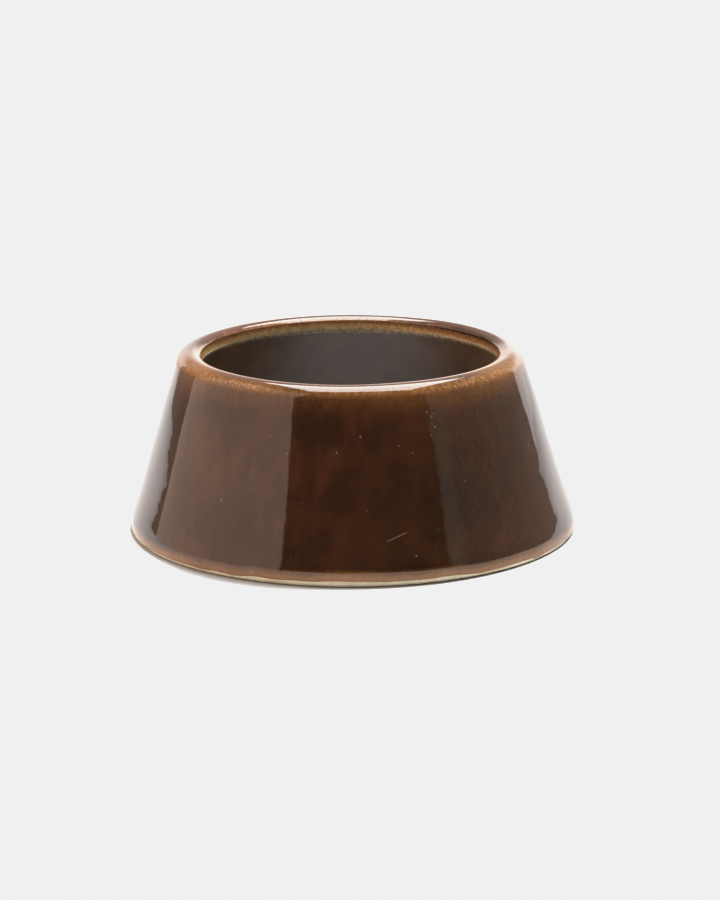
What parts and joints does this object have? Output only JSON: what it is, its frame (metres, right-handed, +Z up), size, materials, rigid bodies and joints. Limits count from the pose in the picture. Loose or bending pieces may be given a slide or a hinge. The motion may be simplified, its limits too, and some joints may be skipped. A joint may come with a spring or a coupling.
{
  "type": "conical ceramic insulator ring",
  "caption": "Brown-glazed porcelain ring shaped as a truncated cone, open at both ends, with a thick rolled lip above and a bare flat foot below.",
  "frame": {"origin": "centre of the foot's seating plane, on the ring's axis", "axes": "+Z up the ring's axis, from the wide foot to the narrow lip; +X and +Y are free, as the ring is round"},
  "size_m": [0.09, 0.09, 0.0365],
  "materials": {
    "biscuit": "matte",
    "brown_glaze": "gloss",
    "inner_glaze": "gloss"
  },
  "bodies": {
    "root": {"porcelain_body": "biscuit", "outer_glaze": "brown_glaze", "inner_glaze": "inner_glaze"}
  },
  "joints": []
}
